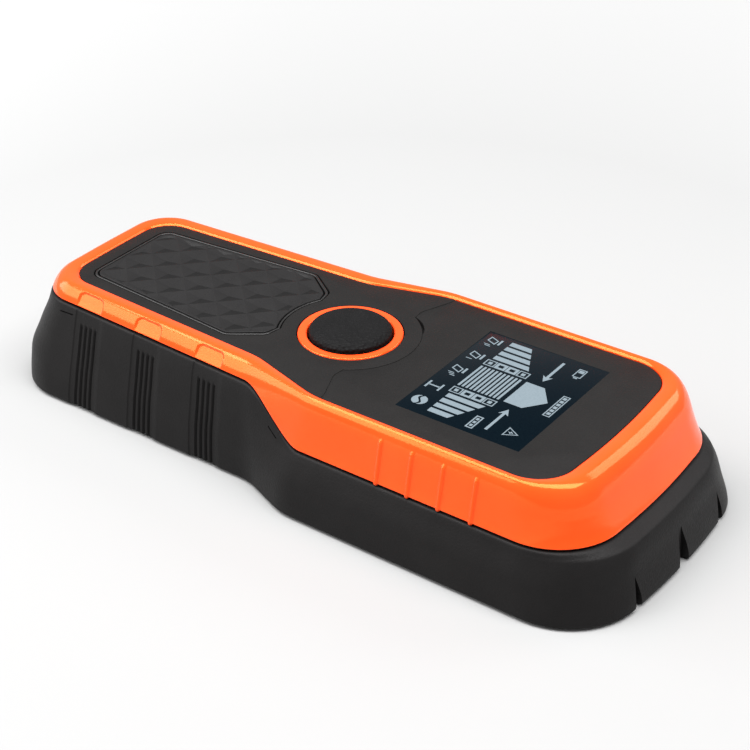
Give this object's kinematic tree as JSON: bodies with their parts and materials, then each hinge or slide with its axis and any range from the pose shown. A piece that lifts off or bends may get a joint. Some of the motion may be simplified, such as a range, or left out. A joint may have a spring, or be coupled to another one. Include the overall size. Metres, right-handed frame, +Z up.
{
  "type": "stud finder",
  "caption": "Hand-held stud finder with a battery handle, a domed thumb button, a display head and a sliding battery door.",
  "frame": {"origin": "centre of the footprint, on the plane that the four glide pads rest on", "axes": "+Z up out of the display, +Y towards the sensing nose, +X to the right seen from above with the nose away"},
  "size_m": [0.076, 0.1802, 0.0316],
  "materials": {
    "black_shell": "fine moulded grain",
    "orange_shell": "smooth gloss",
    "black_panel": "very fine matte grain",
    "soft_rubber": "grained soft touch",
    "clear_lens": "smooth gloss",
    "lcd_glass": "smooth",
    "white_plastic": "smooth",
    "circuit_board": "solder mask",
    "chip_black": "moulded",
    "copper_foil": "etched copper",
    "plated_steel": "zinc plated",
    "battery_can": "printed can",
    "foam": "closed cell foam",
    "felt": "pressed felt",
    "red_wire": "extruded insulation",
    "black_wire": "extruded insulation"
  },
  "bodies": {
    "case": {"lower_shell": "black_shell", "upper_frame": "orange_shell", "handle_panel": "black_panel", "screen_bezel": "black_panel", "grip_pad": "soft_rubber", "button_ring": "orange_shell", "switch_body": "chip_black", "display_window": "clear_lens", "lcd_panel": "lcd_glass", "backlight": "white_plastic", "display_frame": "white_plastic", "zebra_strip_1": "soft_rubber", "zebra_strip_2": "soft_rubber", "main_board": "circuit_board", "microcontroller": "chip_black", "crystal_can": "plated_steel", "buzzer": "chip_black", "capacitor": "chip_black", "sensor_board": "circuit_board", "sensor_plate_1": "copper_foil", "sensor_plate_2": "copper_foil", "sensor_plate_3": "copper_foil", "board_link": "chip_black", "board_screw_1": "plated_steel", "board_screw_2": "plated_steel", "board_screw_3": "plated_steel", "board_screw_4": "plated_steel", "battery": "battery_can", "battery_clip": "chip_black", "battery_foam": "foam", "lead_black": "black_wire", "lead_red": "red_wire", "case_screw_1": "plated_steel", "case_screw_2": "plated_steel", "case_screw_3": "plated_steel", "case_screw_4": "plated_steel", "glide_pad_1": "felt", "glide_pad_2": "felt", "glide_pad_3": "felt", "glide_pad_4": "felt"},
    "power_button": {"button_cap": "soft_rubber", "button_plunger": "white_plastic"},
    "stem": {"switch_stem": "white_plastic"},
    "door": {"battery_door": "black_shell"}
  },
  "joints": [
    {"name": "button_press", "type": "slide", "parent": "case", "child": "power_button", "axis": [0, 0, -1], "range_m": [0, 0.0012], "stiffness_N_per_m": 1200, "springref_m": -0.0002},
    {"name": "stem_press", "type": "slide", "parent": "case", "child": "stem", "axis": [0, 0, -1], "range_m": [0, 0.0012]},
    {"name": "door_slide", "type": "slide", "parent": "case", "child": "door", "axis": [0, -1, 0], "range_m": [0, 0.066]}
  ],
  "couplings": [
    {"joint": "stem_press", "follows": "button_press", "ratio": 1}
  ]
}
